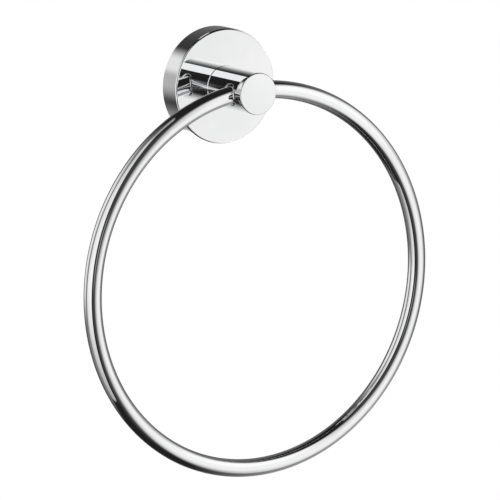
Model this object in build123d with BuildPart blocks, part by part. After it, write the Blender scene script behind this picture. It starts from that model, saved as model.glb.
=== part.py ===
# Towel ring: a round rose on a wall bracket, a post standing out of it, and a hoop through the post.
# Millimetres. The wall is the plane y = 0 and the post's axis is the Y axis: the object stands out
# towards -Y, X is to the right seen from the front, and Z is up.
import math
import os

from build123d import *

# Rose: a turned cup, open towards the wall
rose_dia = 52.0
rose_depth = 11.4
rose_wall = 3.0
rose_face = 2.6
rose_rim = 0.9
rose_foot_bevel = 0.3
rose_lead_bevel = 0.5

# Post: its front face stands this far from the wall
post_dia = 18.8
post_reach = 39.0
post_rim = 0.5
post_foot_bevel = 0.35
spigot_dia = 12.0
spigot_setback = 0.2
spigot_clearance = 0.05
spigot_bevel = 0.4

# Ring: a round bar on a circle, with its two ends facing each other inside the post
ring_dia = 172.0
bar_dia = 8.0
ring_reach = 29.5
end_gap = 1.0
end_bevel = 1.0
bore_clearance = 0.1
bore_mouth = 0.6

# Wall bracket: flange, dished floor and a lip with an undercut flank
bracket_clearance = 0.2
flange_thick = 2.0
floor_thick = 2.5
lip_dia = 39.0
lip_land = 0.9
lip_wall = 2.0
lip_bevel = 0.4
groove_relief = 0.5
centre_hole_dia = 12.0
slot_width = 4.6
slot_length = 6.6
slot_spacing = 22.0

# Screws and washer: threads are plain cylinders with a small clearance
thread_clearance = 0.05
screw_end_bevel = 0.4
seat_clearance = 0.03
post_thread_dia = 6.0
post_screw_length = 10.0
post_head_dia = 10.5
post_head_height = 3.3
post_head_round = 1.6
post_key = 4.0
post_key_depth = 2.1
washer_dia = 16.0
washer_thick = 1.2
washer_clearance = 0.2
lock_screw_length = 6.0
lock_key = 3.0
lock_key_depth = 2.2
set_thread_dia = 4.0
set_screw_sink = 0.4
set_screw_bite = 1.5
set_screw_rise = 0.4
set_key = 2.0
set_key_depth = 2.2

# Places worked out from the sizes above
rose_radius = rose_dia / 2
post_radius = post_dia / 2
bar_radius = bar_dia / 2
ring_radius = ring_dia / 2
rose_hollow = rose_depth - rose_face
bar_sag = ring_radius - math.sqrt(ring_radius**2 - post_radius**2)
bore_radius = bar_radius + bar_sag / 2 + bore_clearance
lock_tip = ring_reach - bar_radius + end_bevel + end_gap / 2 - seat_clearance
flange_radius = rose_radius - rose_wall - bracket_clearance
lip_radius = lip_dia / 2
set_tip_radius = lip_radius - set_screw_bite
set_screw_depth = flange_thick + set_thread_dia / 2 + set_screw_rise
groove_radius = set_tip_radius - groove_relief
dish_radius = groove_radius - lip_wall
lip_edge_depth = set_screw_depth + set_screw_bite + seat_clearance
groove_edge_depth = set_screw_depth - groove_relief + seat_clearance
bracket_depth = lip_edge_depth + lip_land
head_seat = rose_hollow - washer_thick


def wall_plane(depth):
    """A plane parallel to the wall at this depth, facing away from the wall."""
    return Plane.XZ.offset(depth)


os.makedirs("parts", exist_ok=True)

# Wall bracket: its section turned about the post's axis, two slots, and a lead-in bevel on the lip
with BuildPart() as wall_bracket:
    with BuildSketch(Plane.XY):
        with BuildLine():
            Polyline(
                (centre_hole_dia / 2, 0),
                (flange_radius, 0),
                (flange_radius, -flange_thick),
                (groove_radius, -flange_thick),
                (groove_radius, -groove_edge_depth),
                (lip_radius, -lip_edge_depth),
                (lip_radius, -bracket_depth),
                (dish_radius, -bracket_depth),
                (dish_radius, -floor_thick),
                (centre_hole_dia / 2, -floor_thick),
                close=True,
            )
        make_face()
    revolve(axis=Axis.Y)
    with BuildSketch(wall_plane(0)):
        with GridLocations(slot_spacing, 0, 2, 1):
            SlotOverall(slot_length, slot_width)
    extrude(amount=floor_thick, mode=Mode.SUBTRACT)
    lip_edges = wall_bracket.faces().sort_by(Axis.Y)[0].edges()
    chamfer(lip_edges.sort_by(SortBy.LENGTH)[-1], lip_bevel)

# Rose: a disc hollowed from the back, with a hole for the post's spigot and one for the set screw
with BuildPart() as rose:
    with BuildSketch(wall_plane(0)):
        Circle(rose_radius)
    extrude(amount=rose_depth)
    fillet(rose.faces().sort_by(Axis.Y)[0].edges(), rose_rim)
    chamfer(rose.faces().sort_by(Axis.Y)[-1].edges(), rose_foot_bevel)
    with BuildSketch(wall_plane(0)):
        Circle(rose_radius - rose_wall)
    extrude(amount=rose_hollow, mode=Mode.SUBTRACT)
    foot_edges = rose.faces().sort_by(Axis.Y)[-1].edges()
    chamfer(foot_edges.sort_by(SortBy.LENGTH)[0], rose_lead_bevel)
    with BuildSketch(wall_plane(rose_hollow)):
        Circle(spigot_dia / 2 + spigot_clearance)
    extrude(amount=rose_face, mode=Mode.SUBTRACT)
    with BuildSketch(Plane.XY):
        with Locations((0, -set_screw_depth)):
            Circle(set_thread_dia / 2 + thread_clearance)
    extrude(amount=-rose_dia, mode=Mode.SUBTRACT)

# Post: front rim rounded, foot bevelled, then the cross-bore, the spigot and its threaded hole,
# which both get a lead-in bevel at the back
with BuildPart() as post:
    with BuildSketch(wall_plane(rose_depth)):
        Circle(post_radius)
    extrude(amount=post_reach - rose_depth)
    fillet(post.faces().sort_by(Axis.Y)[0].edges(), post_rim)
    chamfer(post.faces().sort_by(Axis.Y)[-1].edges(), post_foot_bevel)
    with BuildSketch(Plane.YZ):
        with Locations((-ring_reach, -bar_sag / 2)):
            Circle(bore_radius)
    extrude(amount=post_dia, both=True, mode=Mode.SUBTRACT)
    fillet(post.edges(Select.LAST).filter_by(GeomType.LINE, reverse=True), bore_mouth)
    with BuildSketch(wall_plane(rose_hollow + spigot_setback)):
        Circle(spigot_dia / 2)
    extrude(amount=rose_face - spigot_setback)
    with BuildSketch(wall_plane(rose_hollow + spigot_setback)):
        Circle(post_thread_dia / 2 + thread_clearance)
    extrude(amount=ring_reach - rose_hollow - spigot_setback, mode=Mode.SUBTRACT)
    chamfer(post.faces().sort_by(Axis.Y)[-1].edges(), spigot_bevel)

# Ring: the bar's section swept round the hoop from one end to the other, both ends bevelled
ring_axis = Axis((0, 0, -ring_radius), (0, 1, 0))
half_gap_angle = math.asin(end_gap / 2 / ring_radius)
bar_start = Plane(
    origin=(
        ring_radius * math.sin(half_gap_angle),
        -ring_reach,
        ring_radius * (math.cos(half_gap_angle) - 1),
    ),
    x_dir=(0, 1, 0),
    z_dir=(math.cos(half_gap_angle), 0, -math.sin(half_gap_angle)),
)
with BuildPart() as ring:
    with BuildSketch(bar_start):
        Circle(bar_radius)
    revolve(axis=ring_axis, revolution_arc=360 - 2 * math.degrees(half_gap_angle))
    chamfer(ring.faces().filter_by(GeomType.PLANE).edges(), end_bevel)

# Post screw: button head inside the rose, its shank through the washer into the post
with BuildPart() as post_screw:
    with BuildSketch(wall_plane(head_seat - post_head_height)):
        Circle(post_head_dia / 2)
    extrude(amount=post_head_height)
    fillet(post_screw.faces().sort_by(Axis.Y)[-1].edges(), post_head_round)
    with BuildSketch(wall_plane(head_seat)):
        Circle(post_thread_dia / 2)
    extrude(amount=post_screw_length)
    chamfer(post_screw.faces().sort_by(Axis.Y)[0].edges(), screw_end_bevel)
    with BuildSketch(wall_plane(head_seat - post_head_height)):
        RegularPolygon(post_key / 2, 6, major_radius=False)
    extrude(amount=post_key_depth, mode=Mode.SUBTRACT)

# Washer between the screw's head and the rose's inner face
with BuildPart() as post_washer:
    with BuildSketch(wall_plane(head_seat)):
        Circle(washer_dia / 2)
        Circle(post_thread_dia / 2 + washer_clearance, mode=Mode.SUBTRACT)
    extrude(amount=washer_thick)

# Ring lock screw: its cone wedges between the bar's bevelled ends
lock_radius = post_thread_dia / 2
lock_back = lock_tip - lock_screw_length
with BuildPart() as ring_lock_screw:
    with BuildSketch(Plane.XY):
        with BuildLine():
            Polyline(
                (0, -lock_tip),
                (lock_radius, -lock_tip + lock_radius),
                (lock_radius, -lock_back - screw_end_bevel),
                (lock_radius - screw_end_bevel, -lock_back),
                (0, -lock_back),
                close=True,
            )
        make_face()
    revolve(axis=Axis.Y)
    with BuildSketch(wall_plane(lock_back)):
        RegularPolygon(lock_key / 2, 6, major_radius=False)
    extrude(amount=lock_key_depth, mode=Mode.SUBTRACT)

# Rose set screw: in the underside of the rose, its cone under the bracket's lip
set_radius = set_thread_dia / 2
set_end_radius = rose_radius - set_screw_sink
set_axis = Axis((0, -set_screw_depth, 0), (0, 0, 1))
with BuildPart() as rose_set_screw:
    with BuildSketch(wall_plane(set_screw_depth)):
        with BuildLine():
            Polyline(
                (0, -set_tip_radius),
                (set_radius, -set_tip_radius - set_radius),
                (set_radius, -set_end_radius + screw_end_bevel),
                (set_radius - screw_end_bevel, -set_end_radius),
                (0, -set_end_radius),
                close=True,
            )
        make_face()
    revolve(axis=set_axis)
    with BuildSketch(Plane((0, -set_screw_depth, -set_end_radius))):
        RegularPolygon(set_key / 2, 6, major_radius=False)
    extrude(amount=set_key_depth, mode=Mode.SUBTRACT)

pieces = {
    "wall_bracket": wall_bracket,
    "rose": rose,
    "post": post,
    "ring": ring,
    "post_screw": post_screw,
    "post_washer": post_washer,
    "ring_lock_screw": ring_lock_screw,
    "rose_set_screw": rose_set_screw,
}
for name, piece in pieces.items():
    piece.part.label = name
    export_step(piece.part, f"parts/{name}.step")
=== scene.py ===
import math

import bpy
import numpy as np
from mathutils import Matrix, Vector


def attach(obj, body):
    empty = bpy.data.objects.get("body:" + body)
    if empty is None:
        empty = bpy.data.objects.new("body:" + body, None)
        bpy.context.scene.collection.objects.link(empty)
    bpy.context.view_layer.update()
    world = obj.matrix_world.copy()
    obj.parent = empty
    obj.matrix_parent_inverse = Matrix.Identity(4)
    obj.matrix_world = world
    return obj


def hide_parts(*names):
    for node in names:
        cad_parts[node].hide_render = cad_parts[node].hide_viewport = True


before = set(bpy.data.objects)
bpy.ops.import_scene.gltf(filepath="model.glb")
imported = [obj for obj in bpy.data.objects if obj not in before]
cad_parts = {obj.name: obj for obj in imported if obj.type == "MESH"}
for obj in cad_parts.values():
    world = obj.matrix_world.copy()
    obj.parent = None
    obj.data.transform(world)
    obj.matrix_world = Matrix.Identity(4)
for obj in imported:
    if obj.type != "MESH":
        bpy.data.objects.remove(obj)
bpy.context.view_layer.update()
scene = bpy.context.scene
print("frame loaded:", ", ".join(sorted(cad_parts)))


# camera: where it stands seen from the target, in degrees and metres
cameraView = {
    "target": (-0.0001, -0.0241, -0.0732),
    "azimuth": -31.65,  # 0 is straight in front, minus is to the left
    "elevation": 12.74,
    "roll": -3.46,
    "distance": 1.995,
    "lens": 320.16,  # millimetres, as the sensor's width
    "sensor": 36.0,
    "clipEnd": 100.0,
}


def placeCamera(view):
    # back points from the target to the camera; side and up are turned about it by the roll
    az, el, roll = (math.radians(view[k]) for k in ("azimuth", "elevation", "roll"))
    back = Vector((math.sin(az) * math.cos(el), -math.cos(az) * math.cos(el), math.sin(el)))
    side = Vector((0, 0, 1)).cross(back).normalized()
    up = back.cross(side)
    sideRolled = side * math.cos(roll) + up * math.sin(roll)
    upRolled = up * math.cos(roll) - side * math.sin(roll)
    data = bpy.data.cameras.new("photoCamera")
    data.lens = view["lens"]
    data.sensor_width = view["sensor"]
    data.clip_end = view["clipEnd"]
    camera = bpy.data.objects.new("photoCamera", data)
    turn = Matrix((sideRolled, upRolled, back)).transposed().to_4x4()
    place = Vector(view["target"]) + back * view["distance"]
    camera.matrix_world = Matrix.Translation(place) @ turn
    scene.collection.objects.link(camera)
    scene.camera = camera


placeCamera(cameraView)
print("camera placed")


# node helpers
def addNode(tree, kind, values=None, **settings):
    node = tree.nodes.new(kind)
    for key, value in settings.items():
        setattr(node, key, value)
    for key, value in (values or {}).items():
        node.inputs[key].default_value = value
    return node


def mathNode(tree, operation, *terms):
    node = addNode(tree, "ShaderNodeMath", operation=operation)
    for socket, term in zip(node.inputs, terms):
        if isinstance(term, (int, float)):
            socket.default_value = term
        else:
            tree.links.new(term, socket)
    return node.outputs[0]


def newGroup(name, inputs, outputs):
    group = bpy.data.node_groups.new(name, "ShaderNodeTree")
    for label, kind, value in inputs:
        socket = group.interface.new_socket(label, in_out="INPUT", socket_type=kind)
        if value is not None:
            socket.default_value = value
    for label, kind in outputs:
        group.interface.new_socket(label, in_out="OUTPUT", socket_type=kind)
    return group, group.nodes.new("NodeGroupInput"), group.nodes.new("NodeGroupOutput")


def newMaterial(name):
    material = bpy.data.materials.new(name)
    material.use_nodes = True
    tree = material.node_tree
    tree.nodes.clear()
    return material, tree, addNode(tree, "ShaderNodeOutputMaterial")


# mesh helpers
def surfaceMesh(name, grid, startPole, endPole, sharpAngle=35.0):
    # grid is rows x columns x 3; columns close on themselves, and a fan to a pole closes each end
    rows, columns = grid.shape[:2]
    index = np.arange(rows * columns).reshape(rows, columns)
    after = np.roll(index, -1, axis=1)
    quads = np.stack([index[:-1], after[:-1], after[1:], index[1:]], axis=-1).reshape(-1, 4)
    points = np.vstack([grid.reshape(-1, 3), startPole, endPole])
    startTip, endTip = np.full(columns, rows * columns), np.full(columns, rows * columns + 1)
    fans = [np.stack([after[0], index[0], startTip], axis=-1),
            np.stack([index[-1], after[-1], endTip], axis=-1)]
    triangles = np.vstack(fans + [quads[:, [0, 1, 2]], quads[:, [0, 2, 3]]])
    a, b, c = (points[triangles[:, k]] for k in range(3))
    inside = np.einsum("ij,ij->", a, np.cross(b, c)) < 0  # its volume is then negative
    faces = [f[:, ::-1] if inside else f for f in fans + [quads]]
    mesh = bpy.data.meshes.new(name)
    mesh.from_pydata(points.tolist(), [], [face for f in faces for face in f.tolist()])
    mesh.polygons.foreach_set("use_smooth", np.ones(len(mesh.polygons), bool))
    mesh.set_sharp_from_angle(angle=math.radians(sharpAngle))
    mesh.update()
    piece = bpy.data.objects.new(name, mesh)
    scene.collection.objects.link(piece)
    return piece


def standFor(piece, node, material):
    piece.data.materials.append(material)
    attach(piece, "root")
    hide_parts(node)
    print(piece.name, "stands for", node, "with", len(piece.data.polygons), "faces")
    return piece


# ring: a round bar bent to a hoop, its two ends facing each other inside the post
ringBar = {
    "hoopRadius": 0.086,
    "barRadius": 0.004,
    "reach": 0.0295,  # from the wall to the middle of the bar
    "endGap": 0.001,
    "endBevel": 0.001,
    "stepsAlong": 720,
    "stepsAround": 64,
}


def bendRing(plan):
    # circle of the bar's radius carried round the hoop:
    # middle + radius (cos b outward + sin b along Y);
    # the first and last rows shrink by the bevel and a pole closes each end
    hoop, bar, bevel = plan["hoopRadius"], plan["barRadius"], plan["endBevel"]
    start = math.asin(plan["endGap"] / 2 / hoop)
    bevelAngle = bevel / hoop
    along = np.linspace(start + bevelAngle, 2 * math.pi - start - bevelAngle, plan["stepsAlong"])
    along = np.concatenate([[start], along, [2 * math.pi - start]])[:, None]
    radius = np.full_like(along, bar)
    radius[[0, -1]] = bar - bevel
    around = np.linspace(0, 2 * math.pi, plan["stepsAround"], endpoint=False)[None, :]
    outward = hoop + radius * np.cos(around)
    depth = -plan["reach"] + radius * np.sin(around)
    grid = np.stack([outward * np.sin(along), depth, outward * np.cos(along) - hoop], axis=-1)
    ends = [(hoop * math.sin(a), -plan["reach"], hoop * math.cos(a) - hoop)
            for a in (along[0, 0], along[-1, 0])]
    return surfaceMesh("ringBar", grid, *ends)


# screws: every size in metres; places run along the screw from its driven end
postScrew = {
    "origin": (0, -0.0043, 0),
    "along": (0, -1, 0),
    "key": 0.004,
    "keyDepth": 0.0021,
    "headRadius": 0.00525,
    "headHeight": 0.0033,
    "headRound": 0.0016,
    "radius": 0.003,
    "length": 0.0133,
    "pitch": 0.001,
    "endBevel": 0.0004,
    "columns": 96,
}
ringLockScrew = {
    "origin": (0, -0.02097, 0),
    "along": (0, -1, 0),
    "key": 0.003,
    "keyDepth": 0.0022,
    "radius": 0.003,
    "length": 0.006,
    "pitch": 0.001,
    "endBevel": 0.0004,
    "conePoint": True,
    "columns": 96,
}
roseSetScrew = {
    "origin": (0, -0.0044, -0.0256),
    "along": (0, 0, 1),
    "key": 0.002,
    "keyDepth": 0.0022,
    "radius": 0.002,
    "length": 0.0076,
    "pitch": 0.0007,
    "endBevel": 0.0004,
    "conePoint": True,
    "columns": 96,
}
# shared by the three screws; the socket's mouth is bevelled by a share of half its key
threadShape = {"depthPerPitch": 0.613, "crestShare": 0.125, "rootShare": 0.25, "rowsPerPitch": 18}
headShape = {"mouthShare": 0.12, "roundRows": 13}


def threadRadius(place, angle, plan):
    # crest radius less the groove's depth; the groove is a trapezium wave
    # in place / pitch - angle / full turn
    phase = np.mod(place / plan["pitch"] - angle / (2 * math.pi), 1)
    fromCrest = 1 - np.abs(2 * phase - 1)
    flank = 1 - threadShape["crestShare"] - threadShape["rootShare"]
    groove = np.clip((fromCrest - threadShape["crestShare"]) / flank, 0, 1)
    return plan["radius"] - threadShape["depthPerPitch"] * plan["pitch"] * groove


def cutScrew(name, plan):
    # rows of (place along the axis, radius at each angle):
    # socket floor and wall, driven end, head, thread, far end
    angle = np.linspace(0, 2 * math.pi, plan["columns"], endpoint=False)
    ones = np.ones_like(angle)
    flat = plan["key"] / 2
    hexagon = flat / np.cos(np.mod(angle, math.pi / 3) - math.pi / 6)
    corner = flat / math.cos(math.pi / 6)
    lead = headShape["mouthShare"] * flat
    rows = [(plan["keyDepth"] * ones, hexagon), (lead * ones, hexagon),
            (0 * ones, (corner + lead / 2) * ones)]
    shankStart = 0.0
    if "headRadius" in plan:
        rounding = plan["headRound"]
        rim = plan["headRadius"] - rounding
        rows += [(rounding * (1 - math.cos(t)) * ones, (rim + rounding * math.sin(t)) * ones)
                 for t in np.linspace(0, math.pi / 2, headShape["roundRows"])]
        rows += [(plan["headHeight"] * ones, plan["headRadius"] * ones)]
        shankStart = plan["headHeight"]
    count = int((plan["length"] - shankStart) / plan["pitch"] * threadShape["rowsPerPitch"])
    place = np.linspace(shankStart, plan["length"], count)[:, None] * ones
    bevel = plan["radius"] - plan["endBevel"]
    limits = [bevel + plan["length"] - place]
    if "headRadius" not in plan:
        limits.append(bevel + place)
    if plan.get("conePoint"):
        limits[0] = plan["length"] - place
    cut = np.minimum.reduce([threadRadius(place, angle, plan)] + limits)
    if plan.get("conePoint"):
        place, cut = place[:-1], cut[:-1]  # the pole is the point
    place = np.vstack([np.array([r[0] for r in rows]), place])
    radius = np.vstack([np.array([r[1] for r in rows]), cut])
    along = np.array(plan["along"], float)
    side = np.array([1.0, 0.0, 0.0])
    other = np.cross(along, side)
    origin = np.array(plan["origin"], float)
    grid = origin + place[..., None] * along + radius[..., None] * (
        np.cos(angle)[:, None] * side + np.sin(angle)[:, None] * other)
    poles = [origin + along * plan["keyDepth"], origin + along * plan["length"]]
    return surfaceMesh(name, grid, *poles)


# finishes
def mottleGroup():
    # two layers of noise, spread between a low and a high value
    group, start, end = newGroup("surfaceMottle", [
        ("Vector", "NodeSocketVector", None), ("Scale", "NodeSocketFloat", 40.0),
        ("Low", "NodeSocketFloat", 0.0), ("High", "NodeSocketFloat", 1.0)],
        [("Value", "NodeSocketFloat")])
    noise = addNode(group, "ShaderNodeTexNoise", {"Detail": 4.0, "Roughness": 0.55})
    group.links.new(start.outputs["Vector"], noise.inputs["Vector"])
    group.links.new(start.outputs["Scale"], noise.inputs["Scale"])
    spread = addNode(group, "ShaderNodeMapRange", {"From Min": 0.3, "From Max": 0.7},
                     interpolation_type="SMOOTHSTEP")
    group.links.new(noise.outputs["Fac"], spread.inputs["Value"])
    group.links.new(start.outputs["Low"], spread.inputs["To Min"])
    group.links.new(start.outputs["High"], spread.inputs["To Max"])
    group.links.new(spread.outputs["Result"], end.inputs["Value"])
    return group


def turnedGroup():
    # rings about the post's axis: noise read along the distance from that axis only
    group, start, end = newGroup("turnedRings", [
        ("Vector", "NodeSocketVector", None), ("Rings", "NodeSocketFloat", 1500.0)],
        [("Height", "NodeSocketFloat")])
    split = addNode(group, "ShaderNodeSeparateXYZ")
    group.links.new(start.outputs["Vector"], split.inputs[0])
    x, y, z = split.outputs
    squares = [mathNode(group, "MULTIPLY", axis, axis) for axis in (x, z)]
    distance = mathNode(group, "SQRT", mathNode(group, "ADD", *squares))
    along = mathNode(group, "MULTIPLY", distance, start.outputs["Rings"])
    noise = addNode(group, "ShaderNodeTexNoise", {"Scale": 1.0, "Detail": 2.0},
                    noise_dimensions="1D")
    group.links.new(along, noise.inputs["W"])
    group.links.new(noise.outputs["Fac"], end.inputs["Height"])
    return group


def grainGroup():
    # fine pits and bumps for cast and plated metal
    group, start, end = newGroup("metalGrain", [
        ("Vector", "NodeSocketVector", None), ("Scale", "NodeSocketFloat", 1200.0),
        ("Pits", "NodeSocketFloat", 0.4)], [("Height", "NodeSocketFloat")])
    noise = addNode(group, "ShaderNodeTexNoise", {"Detail": 3.0, "Roughness": 0.6})
    cells = addNode(group, "ShaderNodeTexVoronoi")
    for node in (noise, cells):
        group.links.new(start.outputs["Vector"], node.inputs["Vector"])
        group.links.new(start.outputs["Scale"], node.inputs["Scale"])
    pits = mathNode(group, "MULTIPLY", cells.outputs["Distance"], start.outputs["Pits"])
    group.links.new(mathNode(group, "ADD", noise.outputs["Fac"], pits), end.inputs["Height"])
    return group


surfaceMottle, turnedRings, metalGrain = mottleGroup(), turnedGroup(), grainGroup()

chromeFinish = {
    "dark": (0.895, 0.898, 0.905, 1),
    "pale": (0.935, 0.935, 0.938, 1),
    "cloudScale": 60.0,
    "hazeScale": 180.0,
    "roughness": (0.012, 0.03),
    "rings": 2200.0,
    "ringDepth": 2e-7,
}
bracketFinish = {
    "dark": (0.54, 0.545, 0.555, 1),
    "pale": (0.72, 0.72, 0.725, 1),
    "cloudScale": 140.0,
    "hazeScale": 420.0,
    "roughness": (0.34, 0.52),
    "grainScale": 2600.0,
    "pits": 0.7,
    "grainDepth": 2.5e-5,
}
steelFinish = {
    "dark": (0.47, 0.465, 0.45, 1),
    "pale": (0.66, 0.655, 0.64, 1),
    "cloudScale": 300.0,
    "hazeScale": 900.0,
    "roughness": (0.2, 0.36),
    "grainScale": 5200.0,
    "pits": 0.3,
    "grainDepth": 6e-6,
}
colourMix = {"factor": 0, "first": 6, "second": 7, "result": 2}  # a Mix node's sockets for colours


def metalFinish(name, plan):
    # clouds tint the metal between dark and pale, haze varies its gloss,
    # and turned rings or grain give the bump
    material, tree, out = newMaterial(name)
    shader = addNode(tree, "ShaderNodeBsdfPrincipled", {"Metallic": 1.0})
    place = addNode(tree, "ShaderNodeTexCoord").outputs["Object"]

    def placed(group, **values):
        node = addNode(tree, "ShaderNodeGroup", values, node_tree=group)
        tree.links.new(place, node.inputs["Vector"])
        return node.outputs[0]

    low, high = plan["roughness"]
    haze = placed(surfaceMottle, Scale=plan["hazeScale"], Low=low, High=high)
    tree.links.new(haze, shader.inputs["Roughness"])
    tint = addNode(tree, "ShaderNodeMix", data_type="RGBA")
    tint.inputs[colourMix["first"]].default_value = plan["dark"]
    tint.inputs[colourMix["second"]].default_value = plan["pale"]
    clouds = placed(surfaceMottle, Scale=plan["cloudScale"])
    tree.links.new(clouds, tint.inputs[colourMix["factor"]])
    tree.links.new(tint.outputs[colourMix["result"]], shader.inputs["Base Color"])
    if "rings" in plan:
        height, depth = placed(turnedRings, Rings=plan["rings"]), plan["ringDepth"]
    else:
        height = placed(metalGrain, Scale=plan["grainScale"], Pits=plan["pits"])
        depth = plan["grainDepth"]
    bump = addNode(tree, "ShaderNodeBump", {"Strength": 1.0, "Distance": depth})
    tree.links.new(height, bump.inputs["Height"])
    tree.links.new(bump.outputs[0], shader.inputs["Normal"])
    tree.links.new(shader.outputs[0], out.inputs["Surface"])
    return material


brightChrome = metalFinish("brightChrome", chromeFinish)
castBracket = metalFinish("castBracket", bracketFinish)
screwSteel = metalFinish("screwSteel", steelFinish)
for node, finish in (("rose", brightChrome), ("post", brightChrome), ("wall_bracket", castBracket),
                     ("post_washer", screwSteel)):
    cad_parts[node].material_slots[0].material = finish
print("finishes made")

# the pieces that stand for a node
shown = {"ring": standFor(bendRing(ringBar), "ring", brightChrome)}
for node, name, plan in (("post_screw", "postScrew", postScrew),
                         ("ring_lock_screw", "ringLockScrew", ringLockScrew),
                         ("rose_set_screw", "roseSetScrew", roseSetScrew)):
    shown[node] = standFor(cutScrew(name, plan), node, screwSteel)


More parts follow.
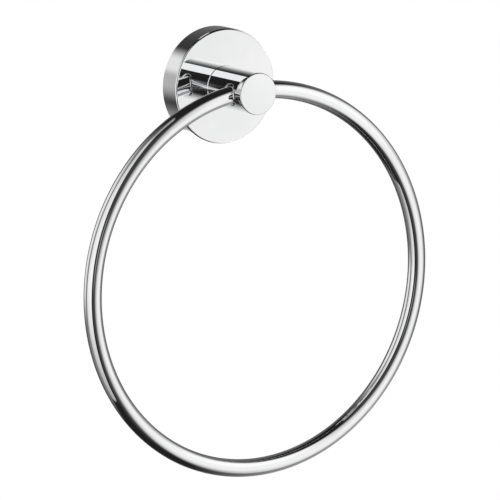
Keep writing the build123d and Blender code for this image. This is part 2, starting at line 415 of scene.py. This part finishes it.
# studio: panels of light, in metres and degrees. yaw and pitch say in which direction a panel lies
# and faces, reach how far it goes left, right, down and up from its middle, edges how soft those
# four edges are, slope and fall how its light leans and drops towards the edges, droop how much
# it dims on the way down, flare how much taller it is on the left, and seenBy which pieces it
# lights. Panels that overlap lie a centimetre or more apart: in one plane, one would be missed
ringOnly, roseOnly, rosePost = ("ring",), ("rose",), ("rose", "post")
fixings = ("wall_bracket", "post_washer", "post_screw", "ring_lock_screw", "rose_set_screw")
plainPanel = {  # what a panel has where it gives nothing else
    "pitch": 0, "roll": 0, "slope": (0, 0), "fall": (0, 0, 0, 0), "droop": 0, "flare": 0,
    "seenBy": (),  # empty lights every piece
    "overrun": 1.25,  # how many reaches out the slope and the fall go on
}
studio = {
    "surround": (0.015, 0.015, 0.015, 1),
    "ground": (1, 1, 1, 1),  # white, for the camera alone
    "panels": {
        # on the left and above it, in the bright windows along the bar
        "sideWall": {
            "middle": (-0.45, -0.045, -0.086), "yaw": -48, "roll": -5, "light": 0.9,
            "reach": (0.22, 0.25, 0.58, 1.3), "edges": (0.09, 0.015, 0.02, 0.1),
            "slope": (0.12, -0.15), "fall": (0, 0, -0.3, 1.0), "droop": 1.05, "flare": 0.4},
        "ringCeiling": {
            "middle": (-0.31, -0.1, 0.75), "yaw": -90, "pitch": 90, "light": 0.3,
            "reach": (0.22, 0.18, 0.14, 0.21), "edges": (0.05, 0.02, 0.12, 0.01),
            "slope": (0.5, 0), "seenBy": ringOnly},
        # in front on the right, in the flat faces and along the bar
        "keyWall": {
            "middle": (0.24, -0.3, -0.19), "yaw": 40, "pitch": -2, "roll": -15, "light": 0.93,
            "reach": (0.3, 0.3, 0.5, 0.33), "edges": (0.28, 0.05, 0.25, 0.1),
            "slope": (-0.05, 0.05), "fall": (0.1, 0.1, 0.05, 0.05), "seenBy": rosePost + fixings},
        "ringKey": {
            "middle": (0.25, -0.32, -0.19), "yaw": 40, "pitch": -2, "roll": -15, "light": 0.94,
            "reach": (0.33, 0.22, 0.41, 0.25), "edges": (0.28, 0.2, 0.33, 0.12),
            "seenBy": ringOnly},
        "ringKeyTop": {
            "middle": (0.26, -0.34, 0.25), "yaw": 40, "pitch": -2, "roll": -15, "light": 0.9,
            "reach": (0.25, 0.53, 0.17, 0.15), "edges": (0.2, 0.3, 0.12, 0.2), "seenBy": ringOnly},
        "keyGlow": {
            "middle": (0.26, -0.28, 0.08), "yaw": 45, "pitch": 25, "light": 0.14,
            "reach": (0.15, 0.15, 0.15, 0.15), "edges": (0.1, 0.1, 0.1, 0.1),
            "seenBy": ("ring", "post")},
        # behind on the left, in the rose's wall, the post and the bar's outer edge
        "rearWall": {
            "middle": (-0.37, 0.64, 0.15), "yaw": -150, "pitch": 12, "light": 0.44,
            "reach": (0.3, 0.4, 0.32, 0.25), "edges": (0.12, 0.12, 0.16, 0.08), "seenBy": rosePost},
        "rearBand": {
            "middle": (-0.35, 0.6, 0.28), "yaw": -150, "pitch": 12, "roll": 8, "light": 0.37,
            "reach": (0.24, 0.4, 0.12, 0.14), "edges": (0.06, 0.12, 0.06, 0.08),
            "seenBy": rosePost},
        "ringRear": {
            "middle": (-0.43, 0.52, 0.14), "yaw": -142, "pitch": 18, "light": 0.7,
            "reach": (0.26, 0.25, 0.4, 0.4), "edges": (0.06, 0.06, 0.12, 0.2),
            "slope": (0, 0.1), "fall": (0, 0, 0, 0.3), "seenBy": ringOnly},
        "ringHaze": {
            "middle": (-0.77, 0.6, -0.09), "yaw": -130, "light": 0.17,
            "reach": (0.7, 0.35, 1.15, 2.5), "edges": (0.2, 0.1, 0.2, 0.8),
            "slope": (0.6, 0), "seenBy": ringOnly},
        # behind and at the sides, in the rose's wall and rim
        "backdrop": {
            "middle": (0.47, 1.0, -0.45), "yaw": 155, "pitch": -22, "light": 1.0,
            "reach": (0.3, 0.28, 0.28, 0.25), "edges": (0.1, 0.1, 0.1, 0.1), "seenBy": roseOnly},
        "edgeSheet": {
            "middle": (0.75, 0.47, -0.19), "yaw": 122, "pitch": -12, "light": 0.9,
            "reach": (0.5, 0.35, 0.35, 0.1), "edges": (0.1, 0.1, 0.1, 0.1), "seenBy": roseOnly},
        "rimSheet": {
            "middle": (0.88, -0.08, 0.19), "yaw": 85, "pitch": 12, "light": 0.85,
            "reach": (0.3, 0.8, 0.2, 0.42), "edges": (0.15, 0.15, 0.12, 0.15), "seenBy": roseOnly},
        "rimLow": {
            "middle": (0.55, 0.1, -0.71), "yaw": 100, "pitch": -52, "light": 0.5,
            "reach": (0.35, 0.35, 0.3, 0.3), "edges": (0.2, 0.2, 0.2, 0.2), "seenBy": roseOnly},
        "rimSpark": {
            "middle": (0.1, 0.42, 0.67), "yaw": 167, "pitch": 57, "light": 1.6,
            "reach": (0.1, 0.1, 0.2, 0.2), "edges": (0.03, 0.03, 0.06, 0.06), "seenBy": roseOnly},
        "rimLeft": {
            "middle": (-0.8, 0.32, 0.26), "yaw": -112, "pitch": 17, "light": 0.32,
            "reach": (0.42, 0.42, 0.36, 0.35), "edges": (0.1, 0.1, 0.1, 0.1), "seenBy": roseOnly},
        # in front: a streak, a faint light in the bar's dark band, and the post's bright stripe,
        # which it mirrors by way of the rose
        "frontStreak": {
            "middle": (-0.22, -0.39, -0.03), "yaw": -31, "pitch": 5, "light": 0.35,
            "reach": (0.022, 0.022, 0.09, 0.09), "edges": (0.015, 0.015, 0.03, 0.03),
            "fall": (0, 0, 0.4, 0.4)},
        "ringFront": {
            "middle": (-0.15, -0.44, -0.05), "yaw": -14, "light": 0.035,
            "reach": (0.17, 0.25, 0.8, 0.6), "edges": (0.02, 0.1, 0.3, 0.3), "seenBy": ringOnly},
        "topStrip": {
            "middle": (-0.04, -0.39, 0.256), "yaw": -12, "pitch": 30, "roll": 6, "light": 1.0,
            "reach": (0.09, 0.09, 0.05, 0.05), "edges": (0.004, 0.004, 0.006, 0.006),
            "seenBy": rosePost},
        # behind on the right, a dim grey
        "farGrey": {
            "middle": (0.35, 0.3, -0.28), "yaw": 144, "pitch": 16, "roll": -25, "light": 0.28,
            "reach": (0.78, 0.78, 0.5, 0.5), "edges": (0.25, 0.4, 0.4, 0.4),
            "slope": (0.6, 0.15), "fall": (-0.2, -0.2, 0.5, 0.5), "seenBy": rosePost},
        "ringFar": {
            "middle": (0.35, 0.3, -0.28), "yaw": 140, "light": 0.13,
            "reach": (0.6, 0.6, 0.5, 0.7), "edges": (0.3, 0.2, 0.3, 0.3),
            "slope": (-0.2, 0), "seenBy": ringOnly},
        # in the flat faces when they are seen from straight ahead or from the upper right
        "frontSoft": {
            "middle": (0, -0.55, 0), "yaw": 0, "light": 0.42,
            "reach": (0.2, 0.2, 0.2, 0.2), "edges": (0.08, 0.08, 0.08, 0.08), "seenBy": rosePost},
        "lowSoft": {
            "middle": (-0.38, -0.37, -0.28), "yaw": -46, "pitch": -28, "light": 0.6,
            "reach": (0.1, 0.1, 0.12, 0.12), "edges": (0.05, 0.03, 0.05, 0.05), "seenBy": rosePost},
        # behind, for what shows from the wall's side
        "backSoft": {
            "middle": (0, 1.2, 0.2), "yaw": 180, "pitch": 8, "light": 1.0,
            "reach": (2.4, 2.4, 1.2, 1.0), "edges": (0.3, 0.3, 0.3, 0.3), "seenBy": fixings},
        # below on the right, a dim grey
        "lowGrey": {
            "middle": (0.3, -0.07, -0.38), "yaw": 116, "pitch": -68, "roll": 30, "light": 0.25,
            "reach": (0.2, 0.2, 0.27, 0.27), "edges": (0.02, 0.02, 0.13, 0.28),
            "slope": (0.07, -0.3), "fall": (-0.2, -0.2, 0.9, 0.9)},
    },
}


def softSteps(low, high, softLow, softHigh, ramp=24, middle=24):
    # grid lines across a panel: close together in the soft edges, wide in the middle
    lowEdge = np.linspace(-low - softLow, -low + softLow, ramp)
    highEdge = np.linspace(high - softHigh, high + softHigh, ramp)
    return np.unique(np.concatenate([lowEdge, np.linspace(-low, high, middle), highEdge]))


def smoothEdge(inside, soft):
    # from 0 at one soft width outside the edge to 1 at one inside: 3 s squared - 2 s cubed
    step = np.clip(0.5 + inside / soft / 2, 0, 1)
    return step * step * (3 - 2 * step)


def hangPanel(name, panel, material):
    # a plane grid middle + x side + y (1 - flare u) up, where u and v are x and y over the reach
    # on their side; its light at each point is kept in the glow attribute
    yaw, pitch, roll = (math.radians(panel[k]) for k in ("yaw", "pitch", "roll"))
    ahead = math.cos(pitch)
    away = np.array([math.sin(yaw) * ahead, -math.cos(yaw) * ahead, math.sin(pitch)])
    level = np.array([math.cos(yaw), math.sin(yaw), 0.0])
    rise = np.cross(away, level)
    side = math.cos(roll) * level + math.sin(roll) * rise
    up = math.cos(roll) * rise - math.sin(roll) * level
    left, right, down, top = panel["reach"]
    softLeft, softRight, softDown, softTop = panel["edges"]
    columns = softSteps(left, right, softLeft, softRight)
    x, y = np.meshgrid(columns, softSteps(down, top, softDown, softTop))
    u = np.clip(x / np.where(x < 0, left, right), -panel["overrun"], panel["overrun"])
    v = np.clip(y / np.where(y < 0, down, top), -panel["overrun"], panel["overrun"])
    edge = smoothEdge(x + left, softLeft) * smoothEdge(right - x, softRight)
    edge = edge * smoothEdge(y + down, softDown) * smoothEdge(top - y, softTop)
    fallLeft, fallRight, fallDown, fallTop = panel["fall"]
    shape = 1 + panel["slope"][0] * u + panel["slope"][1] * v
    shape = shape - np.where(x < 0, fallLeft, fallRight) * u**2
    shape = shape - np.where(y < 0, fallDown, fallTop) * v**2
    shape = shape - panel["droop"] * np.maximum(-v, 0)
    glow = panel["light"] * edge * np.maximum(shape, 0)
    tall = y * (1 - panel["flare"] * u)
    points = np.array(panel["middle"]) + x[..., None] * side + tall[..., None] * up
    index = np.arange(x.size).reshape(x.shape)
    faces = np.stack([index[:-1, :-1], index[:-1, 1:], index[1:, 1:], index[1:, :-1]], axis=-1)
    mesh = bpy.data.meshes.new(name)
    mesh.from_pydata(points.reshape(-1, 3).tolist(), [], faces.reshape(-1, 4).tolist())
    glowLayer = mesh.attributes.new("glow", "FLOAT", "POINT")
    glowLayer.data.foreach_set("value", glow.ravel().astype(np.float32))
    mesh.materials.append(material)
    screen = bpy.data.objects.new(name, mesh)
    screen.visible_camera = False
    screen.visible_shadow = False
    if panel["seenBy"]:
        lit = bpy.data.collections.new(name + "Lights")
        for node in panel["seenBy"]:
            lit.objects.link(shown.get(node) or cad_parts[node])
        screen.light_linking.receiver_collection = lit
    scene.collection.objects.link(screen)


def panelGlow():
    # light is added to whatever lies behind the panel
    material, tree, out = newMaterial("panelGlow")
    lamp = addNode(tree, "ShaderNodeEmission")
    glow = addNode(tree, "ShaderNodeAttribute", attribute_name="glow")
    tree.links.new(glow.outputs["Fac"], lamp.inputs["Strength"])
    both = addNode(tree, "ShaderNodeAddShader")
    tree.links.new(addNode(tree, "ShaderNodeBsdfTransparent").outputs[0], both.inputs[0])
    tree.links.new(lamp.outputs[0], both.inputs[1])
    tree.links.new(both.outputs[0], out.inputs["Surface"])
    return material


def lightStudio(plan):
    world = bpy.data.worlds.new("studio")
    world.use_nodes = True
    tree = world.node_tree
    tree.nodes.clear()
    room = addNode(tree, "ShaderNodeBackground", {"Color": plan["surround"]})
    ground = addNode(tree, "ShaderNodeBackground", {"Color": plan["ground"]})
    pick = addNode(tree, "ShaderNodeMixShader")
    tree.links.new(addNode(tree, "ShaderNodeLightPath").outputs["Is Camera Ray"], pick.inputs[0])
    tree.links.new(room.outputs[0], pick.inputs[1])
    tree.links.new(ground.outputs[0], pick.inputs[2])
    tree.links.new(pick.outputs[0], addNode(tree, "ShaderNodeOutputWorld").inputs["Surface"])
    scene.world = world
    scene.view_settings.view_transform = "Standard"
    material = panelGlow()
    for name, panel in plan["panels"].items():
        hangPanel(name, {**plainPanel, **panel}, material)


lightStudio(studio)
print("studio lit by", len(studio["panels"]), "panels")


# floor: a wide pale sheet well below the object, clear when seen from underneath
floorSheet = {"height": -1.2, "half": 12.0, "colour": (1, 1, 1, 1), "light": 1.0}


def layFloor(plan):
    half, height = plan["half"], plan["height"]
    corners = [(-half, -half, height), (half, -half, height),
               (half, half, height), (-half, half, height)]
    mesh = bpy.data.meshes.new("floorSheet")
    mesh.from_pydata(corners, [], [(0, 1, 2, 3)])
    material, tree, out = newMaterial("paleFloor")
    lamp = addNode(tree, "ShaderNodeEmission", {"Color": plan["colour"], "Strength": plan["light"]})
    pick = addNode(tree, "ShaderNodeMixShader")
    tree.links.new(addNode(tree, "ShaderNodeNewGeometry").outputs["Backfacing"], pick.inputs[0])
    tree.links.new(lamp.outputs[0], pick.inputs[1])
    tree.links.new(addNode(tree, "ShaderNodeBsdfTransparent").outputs[0], pick.inputs[2])
    tree.links.new(pick.outputs[0], out.inputs["Surface"])
    mesh.materials.append(material)
    floor = bpy.data.objects.new("floorSheet", mesh)
    floor.visible_glossy = False
    floor.visible_diffuse = False
    floor.visible_shadow = False
    scene.collection.objects.link(floor)


layFloor(floorSheet)
print("floor laid")
